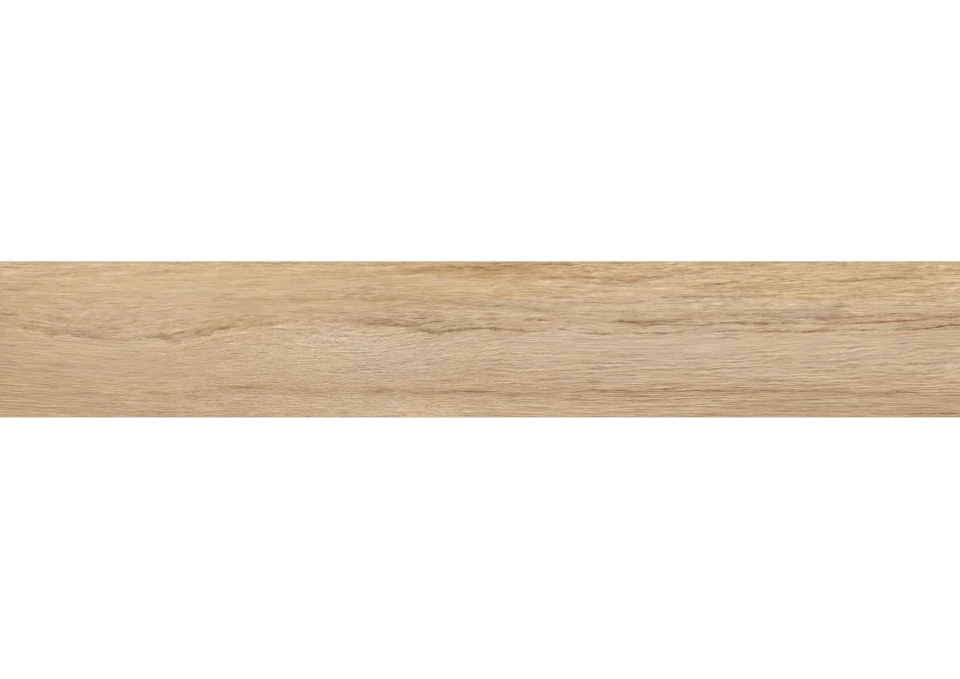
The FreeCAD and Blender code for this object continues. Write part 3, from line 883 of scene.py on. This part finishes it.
def make_face_material():
    """The matt oak print: tone, streaks along the grain, pores and drawn lines."""
    nodes = Nodes(bpy.data.materials.new("printed_glaze"))
    grain = nodes.attribute("grain")
    pores, red, below = nodes.split(nodes.attribute("marks"))
    line = line_darkness(nodes, grain)
    band = band_darkness(nodes, grain)
    pore = nodes.times(pores, nodes.plus(1.0, nodes.layer(grain, *PORE_BREAKS)))
    dark = streak_darkness(nodes, grain, below)
    fibres = nodes.layer(grain, *FIBRES, detail=2.0)
    for part in (line, band, knot_darkness(nodes), nodes.times(pore, PORE_DARKNESS), fibres):
        dark = nodes.plus(dark, part)
    flush = nodes.times(red, nodes.math("MULTIPLY_ADD", line, FLUSH_IN_LINES, FLUSH_SHARE))
    display = nodes.attribute("tone")
    for tint, share in ((INK, dark), (RED_TINT, flush), (BAND_TINT, band)):
        display = nodes.vector("SUBTRACT", display, nodes.vector("SCALE", tuple(tint / 255), share))
    display = nodes.vector("MAXIMUM", display, DARKEST)
    mottle = nodes.noise(grain, (5, 2, 1), 91, 3.0)
    raised = nodes.math("MULTIPLY_ADD", dark, -0.012, nodes.noise(grain, (2.4, 0.7, 1), 97, 2.0))
    return nodes.surface(display, raised, mottle, FACE_FINISH, nodes.times(pore, 0.1))


def make_side_material():
    """Bare ground porcelain, with the thin glaze and engobe layers showing at its top."""
    nodes = Nodes(bpy.data.materials.new("ground_side"))
    place = nodes.place()
    height = nodes.split(place)[2]
    speckle = nodes.noise(place, (0.7, 0.7, 0.7), 3, 3.0)
    cloud = nodes.noise(place, (30, 30, 6), 5, 2.0)
    scratch = nodes.noise(place, (9, 9, 0.12), 9, 2.0)
    body = nodes.mix(speckle, colour(183, 167, 146), colour(208, 195, 176))
    body = nodes.mix(nodes.times(cloud, 0.5), body, colour(190, 176, 155))
    wavy = nodes.plus(height, nodes.centred(nodes.noise(place, (5, 5, 5), 12), 0.12))
    in_engobe = nodes.math("GREATER_THAN", wavy, TOP - ENGOBE_FOOT)
    in_glaze = nodes.math("GREATER_THAN", wavy, TOP - GLAZE_FOOT)
    layered = nodes.mix(in_engobe, body, colour(221, 211, 193))
    print_edge = nodes.mix(scratch, colour(158, 128, 97), colour(186, 156, 122))
    layered = nodes.mix(in_glaze, layered, print_edge)
    raised = nodes.plus(scratch, nodes.times(speckle, 0.5))
    return nodes.surface(layered, raised, scratch, SIDE_FINISH)


def make_back_material():
    """The pressed back: bare fired body in the cells, and a worn wash on the lands."""
    nodes = Nodes(bpy.data.materials.new("pressed_back"))
    place = nodes.place()
    height = nodes.split(place)[2]
    speckle = nodes.noise(place, (0.9, 0.9, 0.9), 23, 3.0)
    cloud = nodes.noise(place, (60, 40, 20), 25, 3.0)
    patchy = nodes.noise(place, (7, 5, 5), 29, 4.0)
    body = nodes.mix(speckle, colour(176, 158, 136), colour(203, 188, 167))
    body = nodes.mix(nodes.times(cloud, 0.45), body, colour(170, 150, 128))
    on_land = nodes.math("LESS_THAN", height, LAND_REACH)
    worn = nodes.times(nodes.math("MULTIPLY_ADD", patchy, 2.4, -0.7), on_land)
    worn = nodes.math("MAXIMUM", nodes.math("MINIMUM", worn, 0.75), 0.0)
    washed = nodes.mix(worn, body, colour(226, 221, 210))
    raised = nodes.plus(speckle, nodes.times(patchy, 0.4))
    return nodes.surface(washed, raised, speckle, BACK_FINISH)


FLOOR_SIZE = 12.0  # metres
FLOOR_GAP = 0.0002  # metres below the plank
FLOOR_GREY = (0.8, 0.8, 0.8, 1)  # as it lights the plank
FLOOR_SHADED = (0.22, 0.22, 0.22, 1)  # the part of it as seen that a shadow darkens
FLOOR_GLOW = 0.84  # the part that none does
AMBIENT = 0.5  # the world's share of the light on the object
LIGHT_STRENGTH = 1.92
LIGHT_TILT = math.radians(35)
LIGHT_TURN = math.radians(-60)
LIGHT_SPREAD = math.radians(45)
LENS = 100.0
SENSOR = 36.0
SEEN_LENGTH = 1198  # millimetres of the plank across the picture


def seen_directly(nodes):
    """1 for rays from the camera and for the reflections and refractions of it."""
    path = nodes.add("LightPath")
    seen = nodes.math("MAXIMUM", path["Is Camera Ray"], path["Is Glossy Ray"])
    return nodes.math("MAXIMUM", seen, path["Is Transmission Ray"])


def make_floor():
    """A plain pale floor that shows white where nothing shades it."""
    half = FLOOR_SIZE / 2
    mesh = bpy.data.meshes.new("floor")
    corners = [(-half, -half, 0), (half, -half, 0), (half, half, 0), (-half, half, 0)]
    mesh.from_pydata(corners, [], [(0, 1, 2, 3)])
    nodes = Nodes(bpy.data.materials.new("pale_floor"))
    plain = nodes.add("BsdfDiffuse", {"Color": FLOOR_GREY})[0]
    shaded = nodes.add("BsdfDiffuse", {"Color": FLOOR_SHADED})[0]
    glow = nodes.add("Emission", {"Color": (1, 1, 1, 1), "Strength": FLOOR_GLOW})[0]
    bright = nodes.add("AddShader", {0: shaded, 1: glow})[0]
    mixed = nodes.add("MixShader", {0: seen_directly(nodes), 1: plain, 2: bright})[0]
    nodes.add("OutputMaterial", {"Surface": mixed})
    mesh.materials.append(nodes.owner)
    floor = bpy.data.objects.new("floor", mesh)
    floor.location.z = -FLOOR_GAP
    bpy.context.collection.objects.link(floor)


def make_world():
    """Even light from all round, and plain white where the camera sees past the floor."""
    nodes = Nodes(bpy.data.worlds.new("studio"))
    strength = nodes.between(seen_directly(nodes), AMBIENT, 1.0)
    background = nodes.add("Background", {"Color": (1, 1, 1, 1), "Strength": strength})
    nodes.add("OutputWorld", {"Surface": background[0]})
    bpy.context.scene.world = nodes.owner


def make_key_light():
    """One broad soft light, the same over the whole plank."""
    light = bpy.data.lights.new("key", "SUN")
    light.energy = LIGHT_STRENGTH
    light.angle = LIGHT_SPREAD
    key = bpy.data.objects.new("key", light)
    key.rotation_euler = (LIGHT_TILT, 0, LIGHT_TURN)
    bpy.context.collection.objects.link(key)


def make_camera():
    """Square above the face, with the plank's length filling the picture's width."""
    camera = bpy.data.cameras.new("camera")
    camera.lens = LENS
    camera.sensor_width = SENSOR
    distance = SEEN_LENGTH * MM * LENS / SENSOR
    camera_object = bpy.data.objects.new("camera", camera)
    camera_object.location = (0, 0, TOP * MM + distance)
    bpy.context.collection.objects.link(camera_object)
    bpy.context.scene.camera = camera_object


def main():
    bpy.context.scene.view_settings.view_transform = "Standard"
    plank = make_plank([make_face_material(), make_side_material(), make_back_material()])
    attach(plank, "root")
    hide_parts(NODE)
    make_floor()
    make_world()
    make_key_light()
    make_camera()


main()
